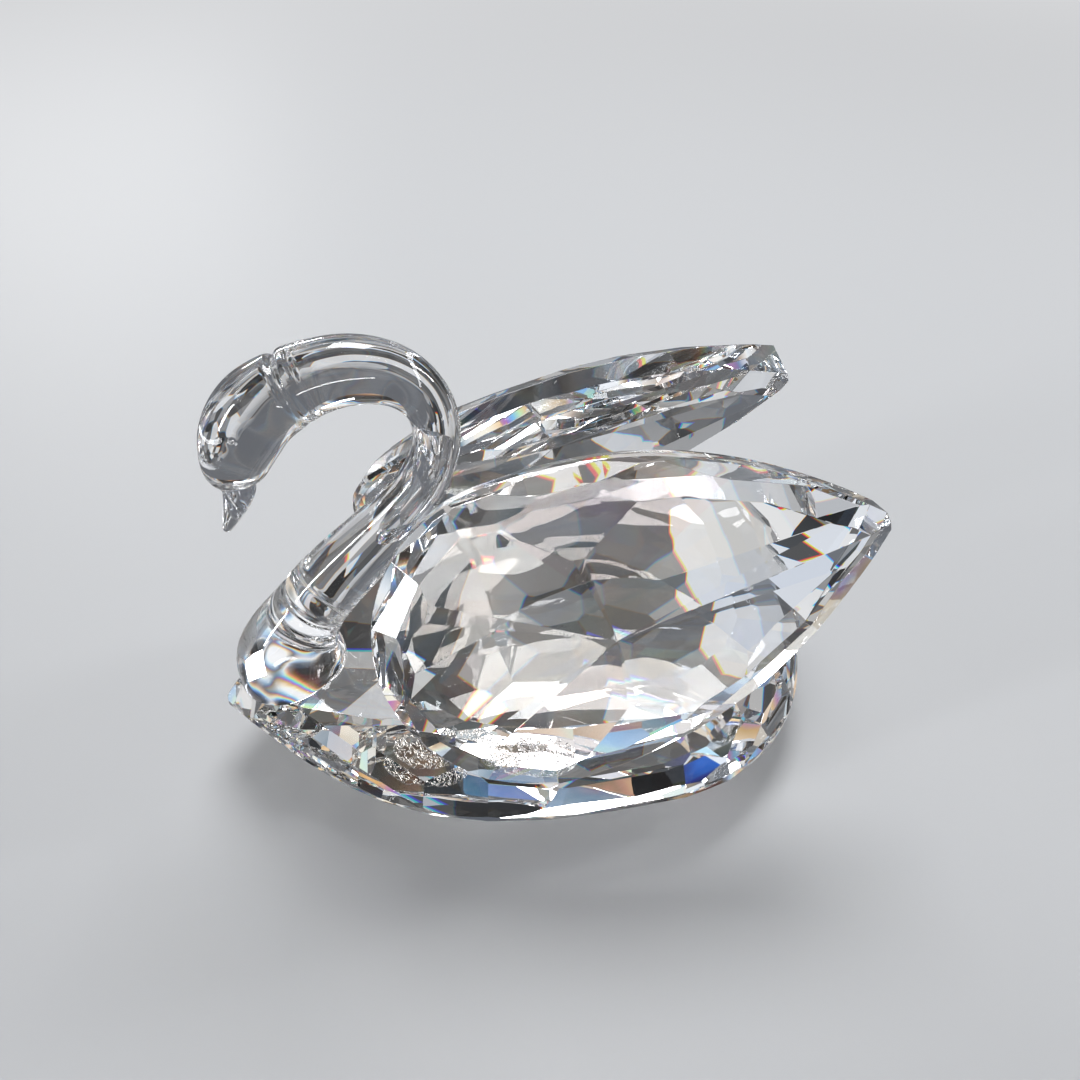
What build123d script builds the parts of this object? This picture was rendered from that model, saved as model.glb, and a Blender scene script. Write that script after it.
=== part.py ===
from build123d import *
import math
import os

# A crystal glass swan: a pear-cut body stone, two pear-cut wing stones, and a smooth moulded neck with its
# head, joined by thin films of clear adhesive. Millimetres. The swan faces -X, +Y is its right side, +Z is up,
# and the origin is on the surface that it stands on, under the centre line.

# Adhesive
BOND = 0.2  # thickness of each film

# Body stone: a pear lying flat, its point forward as the breast
BODY_ROUND_X = 8.2  # centre of the round rear end
BODY_RADIUS = 26.5
BODY_LENGTH = 82.2
BODY_POWER = 2.9  # how late the sides turn in towards the point
BODY_POINT_HALF = 0.5
GIRDLE_Z = 6.5  # underside of the girdle wall
POINT_RISE = 3.6  # how much higher the girdle is at the breast point
WALL = 2.2  # height of the girdle wall at the middle of a main facet
CROWN_TOP = 21.0
BODY_MAINS = (0.05, 0.13, 0.21, 0.30, 0.44, 0.57, 0.68, 0.79, 0.90, 1.0)  # facets' places, point to rear
BODY_BREAKS = 13  # small facets along each flank, above and below the girdle
SEAT_MAIN = 0.44  # the crown facet that each wing is bonded to
MAIN_TILT = 53.0
POINT_TILT = 60.0
BREAK_TILT = 63.0
BREAK_DROP = 1.3  # how far below the wall's top the small crown facets meet it
BREAK_LIFT = 0.4  # how far above its underside the small lower facets do
UPPER_ROW = (26.0, 6.8)  # tilt, and how far above the main facets' foot the row would meet the wall
TOP_ROW = (13.0, 8.85)
PAVILION_TILT = 40.0
PAVILION_BREAK_TILT = 56.0
LOWER_ROW = (24.0, 2.0)  # tilt, and how far below the girdle the row would meet the wall
BASE_ROW = (12.0, 3.85)
BREAST_SLOPE = 11.0  # slope of the large front facet that carries the neck
BREAST_X = -38.0
BREAST_Z = 15.2

# Wing stones: pears standing on their long edge, points back and up
WING_CENTRE = (-6.8, -15.2, 30.7)  # middle of the left wing's round end
WING_RADIUS = 20.0
WING_LENGTH = 63.0
WING_POWER = 2.3
WING_TIP_HALF = 1.1
WING_RISE = 16.9
WING_SPREAD = 1.1  # how far the tips turn outwards, in degrees
WING_LEAN = 27.0  # how far the upper edges lean inwards, in degrees
STAR_P = 9.0  # how far the star's middle is from the round end's middle
WING_STAR = {1: 8.4, -1: 6.2}  # height of the star's middle above the stone's middle plane, by face
WING_MAINS = {1: (0.13, 0.34, 0.70, 1.0), -1: (0.10, 0.27, 0.50, 0.78, 1.0)}
WING_STEP = {1: 1.8, -1: 2.2}  # how far above the edge the star's facets would meet the wall
RAY_DROP = 0.09  # how far the rays between the star's facets are ground below the ridges they replace
WING_ROWS = {  # the rows between the star and the edge: tilt, and how far above the edge they'd meet the wall
    1: ((21.0, 1.2),),
    -1: ((14.0, 1.53), (22.0, 0.83)),
}
WING_BREAKS = 9  # small facets along each flank of each face
WING_BREAK_TILT = {1: 35.0, -1: 38.0}
WING_RIM = 0.9  # half the edge's thickness at the round end
WING_TIP_GROWTH = 1.8  # how much more it is at the tip
WING_HALF_BLANK = 9.0

# Adhesive patches: half sizes along and up the facet, and where they are
WING_BOND_HALF = (5.5, 2.9)
WING_BOND_UP = 9.4  # up the facet, from the girdle wall
NECK_BOND_RADIUS = 5.6

# Neck and head: middle line and radius, from the foot to the end of the head
FOOT_RADIUS = 7.3
NECK = (
    (-37.9, 18.0, 7.1),
    (-36.6, 21.5, 6.1),
    (-34.5, 25.2, 5.1),
    (-31.5, 29.2, 4.75),
    (-28.0, 32.9, 4.5),
    (-23.9, 37.0, 4.1),
    (-20.2, 41.0, 3.6),
    (-17.2, 45.6, 3.2),
    (-15.6, 50.7, 3.0),
    (-16.3, 56.0, 3.1),
    (-19.4, 59.9, 3.6),
    (-24.0, 61.5, 4.05),
    (-28.4, 61.1, 4.3),
    (-31.9, 59.7, 4.7),
    (-34.9, 57.8, 4.95),
    (-37.1, 54.7, 4.85),
    (-38.4, 51.4, 4.1),
    (-38.9, 48.9, 3.1),
)
BEAK = (
    ((-38.6, 49.6), 2.2, 1.8),
    ((-38.9, 46.6), 2.0, 1.6),
    ((-39.8, 43.6), 1.5, 1.2),
    ((-40.8, 41.1), 0.95, 0.8),
)


def pear_edge(length, radius, power, tip_half):
    """Half of a pear's outline, from its point to the middle of its round end, as one wire."""
    reach = length - radius
    steps = 9
    side = []
    for step in range(steps + 1):
        p = reach * (1 - step / steps)
        side.append((p, tip_half + (radius - tip_half) * (1 - (p / reach) ** power)))
    flank = Spline(*side, tangents=[(-1, power * (radius - tip_half) / reach), (-1, 0)])
    middle = (-radius * math.sqrt(0.5), radius * math.sqrt(0.5))
    round_end = ThreePointArc((0, radius), middle, (-radius, 0))
    return Wire([flank, round_end])


def pear_blank(half_edge, low, high):
    """The uncut stone: the whole outline extruded from low to high."""
    other = mirror(half_edge, about=Plane.XZ)
    nose = Line(half_edge @ 0, other @ 0)
    face = make_face(Wire(half_edge.edges() + other.edges() + [nose]).edges())
    return Pos(0, 0, low) * extrude(face, high - low)


def facet(half_edge, place, side, rim_z, tilt, face=1):
    """A cutting plane that meets the wall at rim_z and leans inwards by tilt degrees from the flat."""
    point = half_edge @ place
    run = half_edge % place
    lean = math.radians(tilt)
    normal = Vector(run.Y * math.sin(lean), -side * run.X * math.sin(lean), face * math.cos(lean))
    return Plane(origin=(point.X, side * point.Y, rim_z), z_dir=normal)


def grind(stone, planes):
    """Cut away what lies beyond each plane."""
    for plane in planes:
        stone = split(stone, bisect_by=plane, keep=Keep.BOTTOM)
    return stone


def between(places):
    """Places half way from each place to the next, starting from the point of the pear."""
    starts = (0.0,) + tuple(places[:-1])
    return [(start + end) / 2 for start, end in zip(starts, places)]


def even(count):
    """Evenly spaced places along a flank."""
    return [(index + 0.5) / count for index in range(count)]


def both_sides(places):
    """Each place on both flanks, and the one at the middle of the round end only once."""
    return [(place, side) for place in places for side in ((1,) if place == 1.0 else (1, -1))]


def in_body(plane_or_shape):
    """From the body stone's own frame, whose +X points at the breast, to the swan's."""
    return Location((BODY_ROUND_X, 0, 0), (0, 0, 180)) * plane_or_shape


def girdle(place):
    """Height of the girdle's underside, which rises towards the breast point."""
    return GIRDLE_Z + POINT_RISE * max(0.0, 1 - place / 0.35) ** 2


def main_tilt(place):
    """The crown's main facets are steeper towards the breast point."""
    return MAIN_TILT + (POINT_TILT - MAIN_TILT) * max(0.0, 1 - place / SEAT_MAIN)


BODY_EDGE = pear_edge(BODY_LENGTH, BODY_RADIUS, BODY_POWER, BODY_POINT_HALF)
WING_EDGE = pear_edge(WING_LENGTH, WING_RADIUS, WING_POWER, WING_TIP_HALF)
BREAST_NORMAL = Vector(-math.sin(math.radians(BREAST_SLOPE)), 0, math.cos(math.radians(BREAST_SLOPE)))
BREAST_PLANE = Plane(origin=(BREAST_X, 0, BREAST_Z), x_dir=(0, 1, 0), z_dir=BREAST_NORMAL)


def seat_plane(gap):
    """The left wing's seat: the crown facet that it's bonded to, moved out by gap."""
    cut = facet(BODY_EDGE, SEAT_MAIN, 1, GIRDLE_Z + WALL, MAIN_TILT)
    point = in_body(Location(cut.origin)).position
    normal = Vector(-cut.z_dir.X, -cut.z_dir.Y, cut.z_dir.Z)
    along = Vector(0, 0, 1).cross(normal)
    return Plane(origin=point + normal * gap, x_dir=along, z_dir=normal)


def body_stone():
    """A pear stone with a flat base, a girdle wall, and rows of facets on its crown and underneath."""
    planes = []
    for place, side in both_sides(BODY_MAINS):
        planes.append(facet(BODY_EDGE, place, side, girdle(place) + WALL, main_tilt(place)))
        planes.append(facet(BODY_EDGE, place, side, girdle(place), PAVILION_TILT, -1))
        tilt, lift = TOP_ROW
        planes.append(facet(BODY_EDGE, place, side, girdle(place) + WALL + lift, tilt))
        tilt, drop = BASE_ROW
        planes.append(facet(BODY_EDGE, place, side, girdle(place) - drop, tilt, -1))
    for place, side in both_sides(even(BODY_BREAKS)):
        top = girdle(place) + WALL - BREAK_DROP
        planes.append(facet(BODY_EDGE, place, side, top, BREAK_TILT))
        planes.append(facet(BODY_EDGE, place, side, girdle(place) + BREAK_LIFT, PAVILION_BREAK_TILT, -1))
    for place, side in both_sides(between(BODY_MAINS)):
        tilt, lift = UPPER_ROW
        planes.append(facet(BODY_EDGE, place, side, girdle(place) + WALL + lift, tilt))
        tilt, drop = LOWER_ROW
        planes.append(facet(BODY_EDGE, place, side, girdle(place) - drop, tilt, -1))
    stone = grind(pear_blank(BODY_EDGE, 0, CROWN_TOP), planes)
    return split(in_body(stone), bisect_by=BREAST_PLANE, keep=Keep.BOTTOM)


def wing_frame():
    """The left wing's own frame: +X along it to the tip, +Z out of its outer face."""
    rise, spread, lean = (math.radians(v) for v in (WING_RISE, WING_SPREAD, WING_LEAN))
    along = Vector(math.cos(rise) * math.cos(spread), -math.cos(rise) * math.sin(spread), math.sin(rise))
    out = Vector(0, -math.cos(lean), math.sin(lean))
    out = (out - along * out.dot(along)).normalized()
    return Plane(origin=WING_CENTRE, x_dir=along, z_dir=out)


def star_tilt(place, rim_z, height):
    """The tilt of a facet that starts at the rim and passes through the star's middle."""
    cut = facet(WING_EDGE, place, 1, 0, 90)
    reach = (cut.origin - Vector(STAR_P, 0, 0)).dot(cut.z_dir)
    return math.degrees(math.atan2(height - rim_z, reach))


def wing_rim(place):
    """Half the thickness of the wing's edge, which grows towards the tip."""
    return WING_RIM * (1 + WING_TIP_GROWTH * (1 - place) ** 3)


def ridge_height(planes, place, side, face):
    """Distance from the wing's middle plane to the first of the planes above a place on the edge."""
    point = WING_EDGE @ place
    heights = []
    for plane in planes:
        normal = plane.z_dir
        slope = normal.X * (point.X - plane.origin.X) + normal.Y * (side * point.Y - plane.origin.Y)
        heights.append(face * (plane.origin.Z - slope / normal.Z))
    return min(heights)


def star(face):
    """The facets of one face's star, with a narrow ray along each ridge between them."""
    mains = []
    for place, side in both_sides(WING_MAINS[face]):
        top = wing_rim(place) + WING_STEP[face]
        tilt = star_tilt(place, top, WING_STAR[face])
        mains.append(facet(WING_EDGE, place, side, face * top, tilt, face))
    rays = []
    for place, side in both_sides(between(WING_MAINS[face])):
        top = ridge_height(mains, place, side, face) - RAY_DROP
        tilt = star_tilt(place, top, WING_STAR[face])
        rays.append(facet(WING_EDGE, place, side, face * top, tilt, face))
    return mains + rays


def wing_stone():
    """The left wing: a pear stone with a star in the middle of each face and rows of facets around it."""
    planes = []
    for face, mains in WING_MAINS.items():
        planes += star(face)
        for row, (tilt, lift) in enumerate(WING_ROWS[face]):
            for place, side in both_sides(mains if row % 2 else between(mains)):
                planes.append(facet(WING_EDGE, place, side, face * (wing_rim(place) + lift), tilt, face))
        for place, side in both_sides(even(WING_BREAKS)):
            rim = face * wing_rim(place)
            planes.append(facet(WING_EDGE, place, side, rim, WING_BREAK_TILT[face], face))
    stone = grind(pear_blank(WING_EDGE, -WING_HALF_BLANK, WING_HALF_BLANK), planes)
    placed = wing_frame().location * stone
    return split(placed, bisect_by=seat_plane(BOND), keep=Keep.TOP)


def wing_bond():
    """The film between the left wing and its seat on the body."""
    seat = seat_plane(0)
    patch = Pos(0, WING_BOND_UP) * Ellipse(*WING_BOND_HALF)
    return extrude(seat * patch, BOND)


def foot_plane(gap):
    return Plane(origin=BREAST_PLANE.origin + BREAST_NORMAL * gap, x_dir=(0, 1, 0), z_dir=BREAST_NORMAL)


def neck_bond():
    """The film under the neck's foot."""
    return extrude(foot_plane(0) * Circle(NECK_BOND_RADIUS), BOND)


def neck_and_head():
    """One moulding: a foot, an S-shaped neck that thins towards the bend, a head and a short beak."""
    sections = [foot_plane(BOND) * Circle(FOOT_RADIUS)]
    middles = [Vector(x, 0, z) for x, z, _ in NECK]
    for index, (_, _, radius) in enumerate(NECK):
        before = middles[index - 1] if index else sections[0].center()
        after = middles[min(index + 1, len(middles) - 1)]
        plane = Plane(origin=middles[index], x_dir=(0, 1, 0), z_dir=after - before)
        sections.append(plane * Circle(radius))
    beak = []
    for index, ((x, z), deep, wide) in enumerate(BEAK):
        first = BEAK[max(index - 1, 0)][0]
        last = BEAK[min(index + 1, len(BEAK) - 1)][0]
        heading = Vector(last[0] - first[0], 0, last[1] - first[1])
        plane = Plane(origin=(x, 0, z), x_dir=(0, 1, 0), z_dir=heading)
        beak.append(plane * Ellipse(wide, deep))
    return loft(sections) + loft(beak)


os.makedirs("parts", exist_ok=True)
left_wing = wing_stone()
left_bond = wing_bond()
parts = {
    "body": body_stone(),
    "left_wing": left_wing,
    "right_wing": mirror(left_wing, about=Plane.XZ),
    "left_wing_bond": left_bond,
    "right_wing_bond": mirror(left_bond, about=Plane.XZ),
    "neck_and_head": neck_and_head(),
    "neck_bond": neck_bond(),
}
for name, shape in parts.items():
    export_step(shape, f"parts/{name}.step")
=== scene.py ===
import math
import random

import bpy
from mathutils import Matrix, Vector


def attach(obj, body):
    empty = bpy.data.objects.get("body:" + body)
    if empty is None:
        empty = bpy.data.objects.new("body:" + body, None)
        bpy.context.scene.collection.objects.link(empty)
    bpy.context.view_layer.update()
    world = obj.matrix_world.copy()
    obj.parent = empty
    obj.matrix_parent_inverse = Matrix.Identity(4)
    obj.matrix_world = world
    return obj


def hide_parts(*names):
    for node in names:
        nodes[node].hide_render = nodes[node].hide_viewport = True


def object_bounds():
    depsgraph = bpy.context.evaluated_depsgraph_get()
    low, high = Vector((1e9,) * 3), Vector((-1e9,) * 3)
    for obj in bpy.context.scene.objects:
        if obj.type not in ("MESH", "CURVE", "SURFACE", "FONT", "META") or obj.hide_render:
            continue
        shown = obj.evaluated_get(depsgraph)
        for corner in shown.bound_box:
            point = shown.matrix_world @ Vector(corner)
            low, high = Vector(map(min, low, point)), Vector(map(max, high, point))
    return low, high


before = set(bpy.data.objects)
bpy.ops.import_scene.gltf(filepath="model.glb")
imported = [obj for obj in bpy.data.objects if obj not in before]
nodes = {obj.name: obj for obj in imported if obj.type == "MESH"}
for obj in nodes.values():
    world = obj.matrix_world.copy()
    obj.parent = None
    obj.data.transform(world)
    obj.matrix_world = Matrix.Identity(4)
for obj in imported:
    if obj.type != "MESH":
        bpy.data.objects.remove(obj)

cad_low, cad_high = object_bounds()

# ---- Camera --------------------------------------------------------------------------------------------
# Three quarters from above, on the swan's left and a little towards its head, close enough that the near
# wing is drawn clearly larger than the far one.
VIEW_AZIMUTH = math.radians(-12.3)
VIEW_ELEVATION = math.radians(44.0)
VIEW_DISTANCE = 0.1352
VIEW_LENS = 34.5
AIM_OFFSET = Vector((0.0029, 0.0, -0.0011))  # from the middle of the swan's box

back = Vector((
    math.sin(VIEW_AZIMUTH) * math.cos(VIEW_ELEVATION),
    -math.cos(VIEW_AZIMUTH) * math.cos(VIEW_ELEVATION),
    math.sin(VIEW_ELEVATION),
))
aim = (cad_low + cad_high) / 2 + AIM_OFFSET
camera = bpy.data.objects.new("camera", bpy.data.cameras.new("camera"))
camera.data.sensor_width = 36.0
camera.data.lens = VIEW_LENS
camera.data.clip_start = 0.005
camera.location = aim + back * VIEW_DISTANCE
camera.rotation_euler = (-back).to_track_quat("-Z", "Y").to_euler()
bpy.context.scene.collection.objects.link(camera)
bpy.context.scene.camera = camera

# ---- Table and studio ----------------------------------------------------------------------------------
# A plain pale painted table top under soft studio light. Only the camera sees them plain. The glass is
# shown darker surroundings: the table painted darker, with a glowing net of painted light under the swan,
# and soft pale cards standing round it, as a cut stone is lit for sale: a stone with nothing but a pale
# room about it looks empty.
FLOOR_SIZE = 6.0
FLOOR_GAP = 0.00003  # the air under the swan's base


def srgb(code):
    """A hex colour as the linear colour that shaders take."""
    values = [int(code[i : i + 2], 16) / 255 for i in (0, 2, 4)]
    linear = [v / 12.92 if v <= 0.04045 else ((v + 0.055) / 1.055) ** 2.4 for v in values]
    return (*linear, 1.0)


def add_node(tree, kind, settings=None, links=None):
    """A shader node with its attributes, socket values and incoming links."""
    node = tree.nodes.new(kind)
    for key, value in (settings or {}).items():
        if isinstance(key, str) and hasattr(node, key):
            setattr(node, key, value)
        else:
            node.inputs[key].default_value = value
    for key, socket in (links or {}).items():
        tree.links.new(socket, node.inputs[key])
    return node


def colour_ramp(tree, socket, stops, blend="LINEAR"):
    """A ramp from a value to the colours of its stops, each a place and a hex colour."""
    ramp = add_node(tree, "ShaderNodeValToRGB", links={"Fac": socket})
    ramp.color_ramp.interpolation = blend
    for element, (place, code) in zip(ramp.color_ramp.elements, (stops[0], stops[-1])):
        element.position = place
        element.color = srgb(code)
    for place, code in stops[1:-1]:
        ramp.color_ramp.elements.new(place).color = srgb(code)
    return ramp.outputs["Color"]


def new_material(name):
    """An empty node material and its tree."""
    material = bpy.data.materials.new(name)
    material.use_nodes = True
    material.node_tree.nodes.clear()
    return material, material.node_tree


def surface(tree, socket):
    """The material's output, showing this shader."""
    return add_node(tree, "ShaderNodeOutputMaterial", links={"Surface": socket})


bpy.ops.object.select_all(action="DESELECT")
bpy.ops.mesh.primitive_plane_add(size=FLOOR_SIZE, location=(0, 0, -FLOOR_GAP))
floor = bpy.context.object
floor.name = "table_top"


FRINGE_LINE = (1.0, 0.6, -0.8)  # the way that the red and blue images move apart


def fringed(tree, vector, kind, settings, output, stops, fringe):
    """Patches of light with coloured fringes, as the stones' dispersion would give them."""
    tones = []
    for shift in (fringe, 0.0, -fringe):
        offset = tuple(shift * part for part in FRINGE_LINE)
        moved = add_node(tree, "ShaderNodeVectorMath", {"operation": "ADD", 1: offset}, {0: vector})
        patches = add_node(tree, kind, settings, {"Vector": moved.outputs[0]})
        tones.append(colour_ramp(tree, patches.outputs[output], stops))
    return add_node(tree, "ShaderNodeCombineColor", links=dict(enumerate(tones))).outputs[0]


# Painted board: plain, pale and matt, running into the pale backdrop with no edge between them. Only the
# stones see the net on it: a glowing net of painted light, painted caustics that stand for the light that
# the stones throw there, with the board painted darker past it. The net lies under the swan and fades out
# round it.
BACKDROP = "D6D7D9"
BOARD = "B2B4B7"
BOARD_ROUGHNESS = 0.55
# Painted shade: the board painted darker where the stones see it past the net
PAINTED_SHADE_BOARD = "77797D"  # what the stones see past the net
SWEEP = (0.12, 0.38)  # where the board starts to run into the backdrop, and where it has, in metres
NET = 0.0075  # size of a patch in the net, in metres
NET_MIDDLE = (-0.005, -0.022, 0.0)  # what brings the net's middle to the origin
NET_REACH = (0.055, 0.080)  # where the net starts to fade, and where it's gone
NET_FRINGE = 0.00018
# Painted light: the net's glow and tones, an emission on the board that only the stones see
PAINTED_LIGHT_GLOW = 0.8
PAINTED_LIGHT_TONES = ((0.22, "303237"), (0.40, "74777C"), (0.55, "A6A9AD"), (0.66, "DCDEE0"), (0.78, "FFFFFF"))
board_with_painted_light, tree = new_material("board_with_painted_light")
board_with_painted_light.cycles.emission_sampling = "NONE"
where = add_node(tree, "ShaderNodeTexCoord")
spot = where.outputs["Object"]
painted_light_net = fringed(tree, spot, "ShaderNodeTexVoronoi", {"Scale": 1 / NET}, "Color", PAINTED_LIGHT_TONES, NET_FRINGE)
middle = add_node(tree, "ShaderNodeVectorMath", {"operation": "ADD", 1: NET_MIDDLE}, {0: spot})
reach = add_node(tree, "ShaderNodeVectorMath", {"operation": "LENGTH"}, {0: middle.outputs[0]})
painted_light_fade = add_node(tree, "ShaderNodeMapRange", {1: NET_REACH[0], 2: NET_REACH[1]}, {0: reach.outputs["Value"]})
lit = add_node(tree, "ShaderNodeMix", {"data_type": "RGBA"}, {"Factor": painted_light_fade.outputs[0]})
tree.links.new(painted_light_net, lit.inputs[6])
lit.inputs[7].default_value = srgb(PAINTED_SHADE_BOARD)
matt = add_node(
    tree, "ShaderNodeBsdfPrincipled", {"Base Color": srgb(BOARD), "Roughness": BOARD_ROUGHNESS})
beyond = add_node(tree, "ShaderNodeEmission", {"Color": srgb(BACKDROP)})
bend = add_node(tree, "ShaderNodeMapRange", {1: SWEEP[0], 2: SWEEP[1]}, {0: reach.outputs["Value"]})
seen = add_node(tree, "ShaderNodeMixShader", links={
    0: bend.outputs[0], 1: matt.outputs[0], 2: beyond.outputs[0]})
# Painted light: the board glows with the net for every ray but the camera's
unseen = add_node(tree, "ShaderNodeEmission", {"Strength": PAINTED_LIGHT_GLOW}, {"Color": lit.outputs[2]})
path = add_node(tree, "ShaderNodeLightPath")
board = add_node(tree, "ShaderNodeMixShader", links={
    0: path.outputs["Is Camera Ray"], 1: unseen.outputs[0], 2: seen.outputs[0]})
surface(tree, board.outputs[0])
floor.data.materials.append(board_with_painted_light)


def soft_light(name, place, size, power):
    """An oblong softbox facing the swan."""
    light = bpy.data.objects.new(name, bpy.data.lights.new(name, "AREA"))
    light.data.shape = "RECTANGLE"
    light.data.size, light.data.size_y = size
    light.data.energy = power
    light.location = place
    light.rotation_euler = (Vector(place) - aim).to_track_quat("Z", "Y").to_euler()
    bpy.context.scene.collection.objects.link(light)


soft_light("key_softbox", (0.06, 0.20, 0.42), (0.22, 0.16), 1.5)
soft_light("left_strip", (-0.40, -0.10, 0.14), (0.03, 0.20), 0.55)
soft_light("front_strip", (0.05, -0.50, 0.09), (0.22, 0.03), 0.35)
soft_light("right_strip", (0.38, 0.05, 0.16), (0.03, 0.20), 0.45)
soft_light("back_strip", (-0.15, 0.45, 0.14), (0.20, 0.03), 0.45)

CARDS = 2.4  # how closely the cards stand
CARD_FRINGE = 0.013  # how far the red and blue images of a card lie from the green one
CARD_TONES = (
    (0.30, "101114"), (0.42, "3A3D42"), (0.47, "8E9298"),
    (0.51, "F6F6F5"), (0.57, "74777C"), (0.66, "FFFFFF"),
)
world = bpy.data.worlds.new("studio")
bpy.context.scene.world = world
world.use_nodes = True
tree = world.node_tree
tree.nodes.clear()
bearing = add_node(tree, "ShaderNodeTexCoord")
spread = {"Scale": CARDS, "Detail": 0.0}
way = bearing.outputs["Generated"]
cards = fringed(tree, way, "ShaderNodeTexNoise", spread, 0, CARD_TONES, CARD_FRINGE)
seen = add_node(tree, "ShaderNodeBackground", {"Color": srgb(BACKDROP), "Strength": 1.0})
unseen = add_node(tree, "ShaderNodeBackground", {"Strength": 1.0}, {"Color": cards})
path = add_node(tree, "ShaderNodeLightPath")
room = add_node(tree, "ShaderNodeMixShader", links={
    0: path.outputs["Is Camera Ray"], 1: unseen.outputs[0], 2: seen.outputs[0]})
add_node(tree, "ShaderNodeOutputWorld", links={"Surface": room.outputs[0]})

bpy.context.scene.view_settings.view_transform = "Standard"
bpy.context.scene.cycles.max_bounces = 28
bpy.context.scene.cycles.transmission_bounces = 24
bpy.context.scene.cycles.glossy_bounces = 16

# ---- Body and wing stones ------------------------------------------------------------------------------
# Three stones of lead crystal, sawn, ground and polished to flat facets. Each keeps its CAD facets and
# gains the narrow polished arrises that a cut stone has between them, which draw the lines of the cutting.
ARRIS = 0.00014
MERGE = 0.000002  # points closer than this are one
FLAT = math.radians(0.3)  # triangles within this of each other are one facet
WALL_TURN = math.radians(3.2)  # the girdle wall's own steps, which are smooth on the stone
CRYSTAL_IOR = 1.55


def only(piece):
    """Leave this piece alone selected and active."""
    bpy.ops.object.select_all(action="DESELECT")
    bpy.context.view_layer.objects.active = piece
    piece.select_set(True)


def polished_stone(node, name):
    """The node's facets as one closed mesh, with polished arrises."""
    stone = bpy.data.objects.new(name, nodes[node].data.copy())
    bpy.context.scene.collection.objects.link(stone)
    only(stone)
    bpy.ops.mesh.customdata_custom_splitnormals_clear()
    bpy.ops.object.mode_set(mode="EDIT")
    bpy.ops.mesh.select_all(action="SELECT")
    bpy.ops.mesh.remove_doubles(threshold=MERGE)
    bpy.ops.mesh.dissolve_limited(angle_limit=FLAT)
    bpy.ops.mesh.normals_make_consistent(inside=False)
    bpy.ops.object.mode_set(mode="OBJECT")
    arris = stone.modifiers.new("arris", "BEVEL")
    arris.width = ARRIS
    arris.segments = 1
    arris.limit_method = "ANGLE"
    arris.angle_limit = WALL_TURN * 1.2  # past the wall's own steps
    bpy.ops.object.modifier_apply(modifier=arris.name)
    bpy.ops.object.shade_smooth_by_angle(angle=WALL_TURN)
    return stone


# Polished lead crystal: clear, bright and mirror smooth. Each facet carries a painted pale tint, set by the
# way that it faces, which stands in for the coloured light of its strong dispersion. The polishing wheel
# leaves it very slightly wavy.
PAINTED_FIRE_SCALE = 9.0  # how quickly the tint changes with the way that a facet faces
PAINTED_FIRE_TINTS = ((0.30, "EAF2FF"), (0.42, "FFFFFF"), (0.58, "FFFFFF"), (0.66, "FFFAF2"), (0.76, "FFF3F5"))
WHEEL_WAVE = 0.004  # length of the polishing wheel's waves, in metres
WHEEL_DEPTH = 0.0000025

cut_lead_crystal, tree = new_material("cut_lead_crystal")
where = add_node(tree, "ShaderNodeTexCoord")
facing = add_node(tree, "ShaderNodeNewGeometry")
# Painted fire: a pale tint picked by the facet's facing, in place of dispersion's coloured light
painted_fire_noise = add_node(tree, "ShaderNodeTexNoise", {
    "Scale": PAINTED_FIRE_SCALE, "Detail": 0.0}, {"Vector": facing.outputs["True Normal"]})
painted_fire_tint = colour_ramp(tree, painted_fire_noise.outputs[0], PAINTED_FIRE_TINTS)
wave = add_node(tree, "ShaderNodeTexNoise", {
    "Scale": 1 / WHEEL_WAVE, "Detail": 1.0}, {"Vector": where.outputs["Object"]})
bump = add_node(tree, "ShaderNodeBump", {
    "Strength": 1.0, "Distance": WHEEL_DEPTH}, {"Height": wave.outputs[0]})
glass = add_node(tree, "ShaderNodeBsdfPrincipled", {
    "Roughness": 0.0, "IOR": CRYSTAL_IOR, "Transmission Weight": 1.0},
    {"Base Color": painted_fire_tint, "Normal": bump.outputs[0]})
surface(tree, glass.outputs[0])

for node in ("body", "left_wing", "right_wing"):
    stone = polished_stone(node, f"{node}_stone")
    stone.data.materials.clear()
    stone.data.materials.append(cut_lead_crystal)
    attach(stone, "root")
    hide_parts(node)

# ---- Neck and head -------------------------------------------------------------------------------------
# One moulding of clear crystal, fire polished, on a domed foot that is bonded to the breast. It thins
# towards the bend, a crease marks where the head begins and another where the neck leaves the foot, and the
# beak is short and narrow.
MM = 0.001
NECK_SIDES = 24
RING_STEP = 1.5  # millimetres between rings
FOOT_TURN = -11.0  # degrees; the foot's face follows the breast facet
NECK = (  # middle x and z, half depth and half width, in millimetres
    (-37.97, 15.42, 7.2, 7.2),
    (-37.97, 15.9, 7.35, 7.35),
    (-37.9, 18.0, 7.1, 7.1),
    (-36.6, 21.5, 6.1, 6.1),
    (-34.5, 25.2, 5.1, 5.1),
    (-31.5, 29.2, 4.75, 4.75),
    (-28.0, 32.9, 4.5, 4.5),
    (-23.9, 37.0, 4.1, 4.1),
    (-20.2, 41.0, 3.6, 3.6),
    (-17.2, 45.6, 3.2, 3.2),
    (-15.6, 50.7, 3.0, 3.0),
    (-16.3, 56.0, 3.1, 3.1),
    (-19.4, 59.9, 3.6, 3.6),
    (-24.0, 61.5, 4.05, 4.05),
    (-28.4, 61.1, 4.3, 4.3),
    (-31.9, 59.7, 4.7, 4.7),
    (-34.9, 57.8, 4.95, 4.9),
    (-37.1, 54.7, 4.85, 4.75),
    (-38.4, 51.4, 4.15, 4.1),
    (-38.75, 49.7, 3.6, 3.5),
    (-38.85, 48.95, 2.9, 2.8),
    (-38.7, 48.7, 2.3, 1.95),
    (-38.65, 48.3, 2.25, 1.85),
    (-38.95, 46.6, 2.05, 1.7),
    (-40.1, 43.8, 1.4, 1.2),
    (-41.35, 41.4, 0.75, 0.7),
    (-41.6, 40.85, 0.45, 0.4),
)
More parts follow.
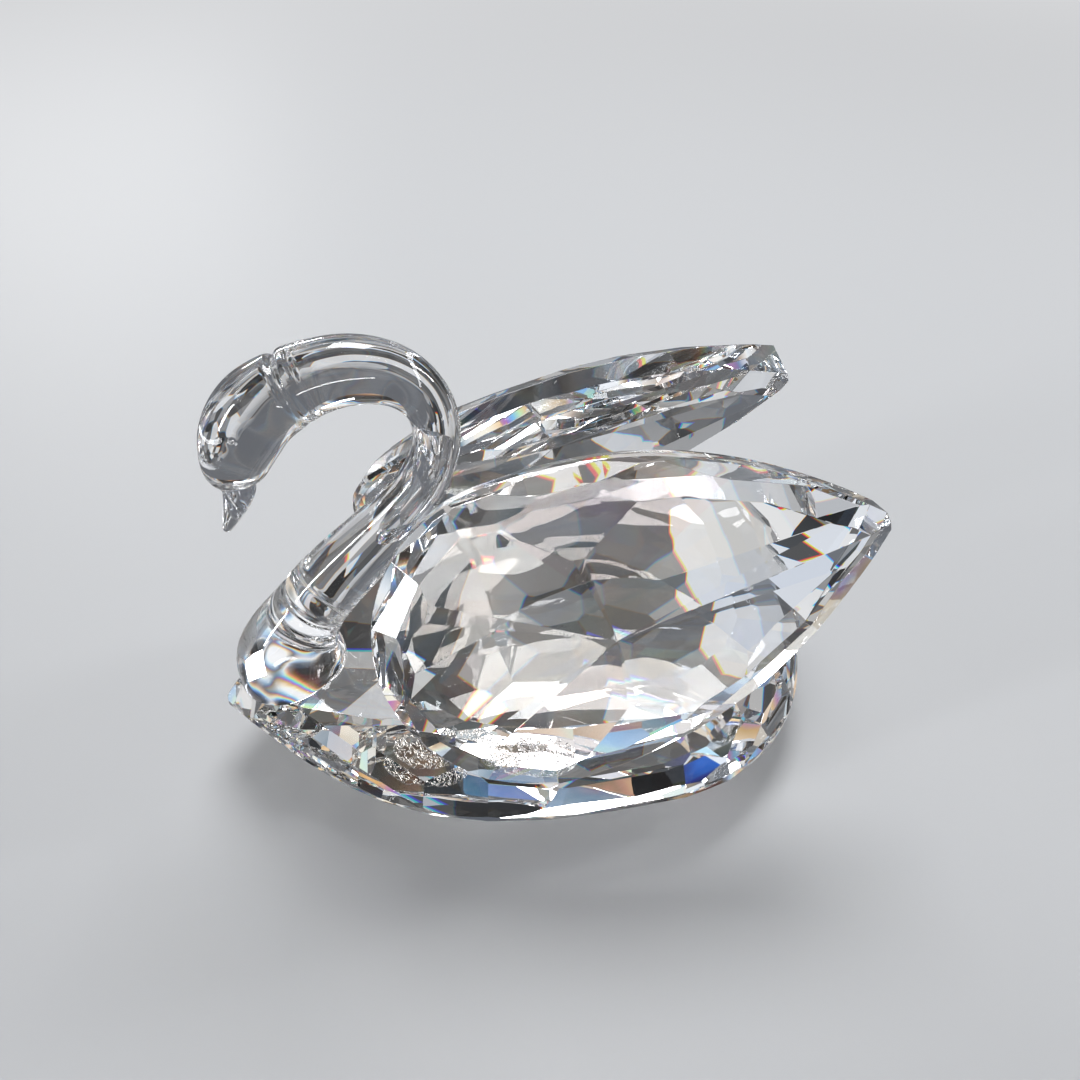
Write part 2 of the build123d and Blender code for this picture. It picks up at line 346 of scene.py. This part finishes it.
CREASES = (  # x and z, how deep, and how far its middle moves outwards, which keeps it off the neck's back
    ((-33.4, 26.8), 0.28, 0.05),
    ((-31.0, 60.1), 0.40, 0.30),
)
CREASE_HALF = 0.42
EYE = (-37.6, 4.4, 57.2)
EYE_RIM = 0.25
EYE_DEPTH = 0.35
EYE_SWELL = 0.4  # how much of the depth the rim stands out first
SOLE_RIM = 0.45


def eased(start, end, lean_in, lean_out, reach, t):
    """A point part of the way from start to end, leaving and arriving with the given slopes."""
    return (start * (2 * t**3 - 3 * t**2 + 1) + lean_in * reach * (t**3 - 2 * t**2 + t)
            + end * (3 * t**2 - 2 * t**3) + lean_out * reach * (t**3 - t**2))


def neck_rings():
    """The rings' middles, half depths and half widths, no further than a step apart, as 4-vectors."""
    knots = [Vector(knot) for knot in NECK]
    gaps = [(after - before).length for before, after in zip(knots, knots[1:])]
    leans = [(knots[1] - knots[0]) / gaps[0]]
    leans += [(knots[i + 1] - knots[i - 1]) / (gaps[i] + gaps[i - 1]) for i in range(1, len(gaps))]
    leans += [(knots[-1] - knots[-2]) / gaps[-1]]
    rings = []
    for i, gap in enumerate(gaps):
        steps = math.ceil(gap / RING_STEP)
        span = (knots[i], knots[i + 1], leans[i], leans[i + 1], gap)
        rings += [eased(*span, step / steps) for step in range(steps)]
    return rings + [knots[-1]]


def creased(rings, spot, depth, lift):
    """The rings with a narrow crease pressed in at the ring nearest to the spot."""
    index = min(range(len(rings)), key=lambda i: (Vector(rings[i][:2]) - Vector(spot)).length)
    x, z, deep, wide = rings[index]
    heading = (Vector(rings[index + 1][:2]) - Vector(rings[index - 1][:2])).normalized()
    outwards = Vector((heading.y, -heading.x)) * (1 if heading.x > 0 else -1) * lift
    steps = (-CREASE_HALF, CREASE_HALF)
    lips = [Vector((*(Vector((x, z)) + heading * step), deep, wide)) for step in steps]
    valley = Vector((x + outwards.x, z + outwards.y, deep - depth, wide - depth))
    return rings[:index] + [lips[0], valley, lips[1]] + rings[index + 1:], index


rings = neck_rings()
ends = zip([rings[0]] + rings, rings[1:] + [rings[-1]])
headings = [Vector(after[:2]) - Vector(before[:2]) for before, after in ends]
for spot, depth, lift in CREASES:
    rings, index = creased(rings, spot, depth, lift)
    headings[index : index + 1] = [headings[index]] * 3
turns = [math.atan2(heading.x, heading.y) for heading in headings]
turns[:2] = [math.radians(FOOT_TURN)] * 2
fullness = 3 / (2 + math.cos(math.tau / NECK_SIDES))  # makes up for what smoothing takes off the sides

bpy.ops.object.select_all(action="DESELECT")
x, z, deep, wide = rings[0]
place, turn = Vector((x * MM, 0, z * MM)), turns[0]
radius = deep * fullness * MM
bpy.ops.mesh.primitive_circle_add(vertices=NECK_SIDES, radius=radius, fill_type="NGON", location=place)
neck = bpy.context.object
neck.name = "moulded_neck_and_head"
bpy.ops.object.mode_set(mode="EDIT")
bpy.ops.mesh.select_all(action="SELECT")
bpy.ops.transform.rotate(value=-turn, orient_axis="Y", center_override=place)
for (x, z, next_deep, next_wide), next_turn in zip(rings[1:], turns[1:]):
    next_place = Vector((x * MM, 0, z * MM))
    bpy.ops.mesh.extrude_region_move(TRANSFORM_OT_translate={"value": next_place - place})
    bpy.ops.transform.rotate(value=turn, orient_axis="Y", center_override=next_place)
    bpy.ops.transform.resize(value=(next_deep / deep, next_wide / wide, 1), center_override=next_place)
    bpy.ops.transform.rotate(value=-next_turn, orient_axis="Y", center_override=next_place)
    place, deep, wide, turn = next_place, next_deep, next_wide, next_turn
bpy.ops.mesh.select_all(action="SELECT")
bpy.ops.mesh.normals_make_consistent(inside=False)
bpy.ops.object.mode_set(mode="OBJECT")
bpy.ops.object.transform_apply(location=True, rotation=True, scale=True)


def inset_face(place, insets):
    """Inset the face nearest to the place, once for each thickness and depth, all in millimetres.

    The points stay selected after the rings are made, so the first call insets the whole neck instead. That
    takes 0.2 mm off it all over, and throws points out where rings cross: at the beak's root, which gets a
    ragged collar, and at the back of the foot.
    """
    only(neck)
    for face in neck.data.polygons:
        face.select = False
    spot = Vector(place) * MM
    min(neck.data.polygons, key=lambda face: (face.center - spot).length).select = True
    bpy.ops.object.mode_set(mode="EDIT")
    bpy.ops.mesh.select_mode(type="FACE")
    for thickness, depth in insets:
        bpy.ops.mesh.inset(thickness=thickness * MM, depth=depth * MM)
    bpy.ops.object.mode_set(mode="OBJECT")


for side in (1, -1):
    inset_face((EYE[0], side * EYE[1], EYE[2]), ((EYE_RIM, EYE_DEPTH * EYE_SWELL), (EYE_RIM, -EYE_DEPTH)))
inset_face((NECK[0][0], 0, NECK[0][1]), ((SOLE_RIM, 0), (SOLE_RIM, 0)))  # keeps the sole flat
smooth = neck.modifiers.new("smooth", "SUBSURF")
smooth.levels = smooth.render_levels = 2
bpy.ops.object.modifier_apply(modifier=smooth.name)
bpy.ops.object.shade_smooth()

# Moulded crystal, fire polished: clear and smooth all over, with faint streaks from the gather of glass.
STREAK = 0.0038  # spacing of the streaks, in metres
STREAK_DEPTH = 0.000012
moulded_crystal, tree = new_material("moulded_crystal")
where = add_node(tree, "ShaderNodeTexCoord")
streak = add_node(tree, "ShaderNodeTexNoise", {
    "Scale": 1 / STREAK, "Detail": 2.0, "Distortion": 0.6}, {"Vector": where.outputs["Object"]})
bump = add_node(tree, "ShaderNodeBump", {
    "Strength": 1.0, "Distance": STREAK_DEPTH}, {"Height": streak.outputs[0]})
clear = colour_ramp(tree, streak.outputs[0], ((0.3, "F6F9FF"), (0.7, "FFFFFF")))
glass = add_node(tree, "ShaderNodeBsdfPrincipled", {
    "Roughness": 0.0, "IOR": CRYSTAL_IOR, "Transmission Weight": 1.0},
    {"Base Color": clear, "Normal": bump.outputs[0]})
surface(tree, glass.outputs[0])
neck.data.materials.append(moulded_crystal)
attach(neck, "root")
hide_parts("neck_and_head")

# ---- Adhesive films ------------------------------------------------------------------------------------
# Clear adhesive, cured in place under each wing and under the neck's foot. A film has a ragged rim where
# it stopped spreading, and holds fine bubbles and wrinkles that shine silver. The wings' films wet both
# stones. The neck's wets the body, and is 0.2 mm short of the neck's sole.
FILM_OVERLAP = 0.00002
RAGGED = 0.00045
RIM_WAVES = 6  # waves round a rim, with from 2 to 7 lobes


def film(node, name, seed):
    """The node's film with a ragged rim, a little thicker than in CAD so that it wets what it touches."""
    patch = bpy.data.objects.new(name, nodes[node].data.copy())
    bpy.context.scene.collection.objects.link(patch)
    only(patch)
    bpy.ops.mesh.customdata_custom_splitnormals_clear()
    bpy.ops.object.mode_set(mode="EDIT")
    bpy.ops.mesh.select_all(action="SELECT")
    bpy.ops.mesh.remove_doubles(threshold=MERGE)
    bpy.ops.mesh.dissolve_limited(angle_limit=FLAT)
    bpy.ops.mesh.normals_make_consistent(inside=False)
    bpy.ops.object.mode_set(mode="OBJECT")
    flat = max(patch.data.polygons, key=lambda face: face.area)
    normal, middle = flat.normal.copy(), flat.center.copy()
    draw = random.Random(seed)
    bearings = [draw.uniform(0, math.tau) for _ in range(RIM_WAVES)]
    across = normal.orthogonal().normalized()
    up = normal.cross(across)
    for vertex in patch.data.vertices:
        spoke = vertex.co - middle
        spoke -= normal * spoke.dot(normal)
        angle = math.atan2(spoke.dot(up), spoke.dot(across))
        waves = enumerate(bearings, start=2)
        ragged = sum(math.sin(lobes * angle + start) / lobes for lobes, start in waves)
        vertex.co += spoke.normalized() * ragged * RAGGED
        side = 1 if (vertex.co - middle).dot(normal) > -FILM_OVERLAP else -1
        vertex.co += normal * side * FILM_OVERLAP
    bpy.ops.object.shade_flat()
    return patch


# Cured adhesive: a wrinkled skin with lines of tiny bubbles. The lines follow the levels of a noise, and
# are drawn about 0.1 mm wide, coarser than the real ones, so that they show. It is clear under the wings,
# and milky under the neck, where the foot's ground face was never polished.
WRINKLE = 0.0012  # spacing of the wrinkles, in metres
LINE_HEIGHT = 0.00006
LINE_ROUGHNESS = 0.5
LINE_TONES = ((0.0, "000000"), (0.468, "000000"), (0.5, "FFFFFF"), (0.532, "000000"), (1.0, "000000"))


def adhesive(name, clearness, smoothest, tones):
    """Cured adhesive: how much of it is clear, how rough it is between the lines, and its tones."""
    material, tree = new_material(name)
    where = add_node(tree, "ShaderNodeTexCoord")
    wrinkle = add_node(tree, "ShaderNodeTexNoise", {
        "Scale": 1 / WRINKLE, "Detail": 1.0, "Distortion": 1.2}, {"Vector": where.outputs["Object"]})
    lines = colour_ramp(tree, wrinkle.outputs[0], LINE_TONES)
    tone = colour_ramp(tree, wrinkle.outputs[0], ((0.4, tones[0]), (0.6, tones[1])))
    rough = add_node(tree, "ShaderNodeMapRange", {3: smoothest, 4: LINE_ROUGHNESS}, {0: lines})
    bump = add_node(tree, "ShaderNodeBump", {"Strength": 1.0, "Distance": LINE_HEIGHT}, {"Height": lines})
    gum = add_node(tree, "ShaderNodeBsdfPrincipled", {
        "IOR": 1.50, "Transmission Weight": clearness},
        {"Base Color": tone, "Roughness": rough.outputs[0], "Normal": bump.outputs[0]})
    surface(tree, gum.outputs[0])
    return material


clear_adhesive = adhesive("cured_clear_adhesive", 1.0, 0.03, ("FBFCFD", "FFFFFF"))
milky_adhesive = adhesive("milky_cured_adhesive", 0.5, 0.4, ("E4E4DF", "F8F7F3"))

for seed, node in enumerate(("left_wing_bond", "right_wing_bond", "neck_bond")):
    patch = film(node, node.replace("bond", "adhesive_film"), seed)
    patch.data.materials.clear()
    patch.data.materials.append(milky_adhesive if node == "neck_bond" else clear_adhesive)
    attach(patch, "root")
    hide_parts(node)
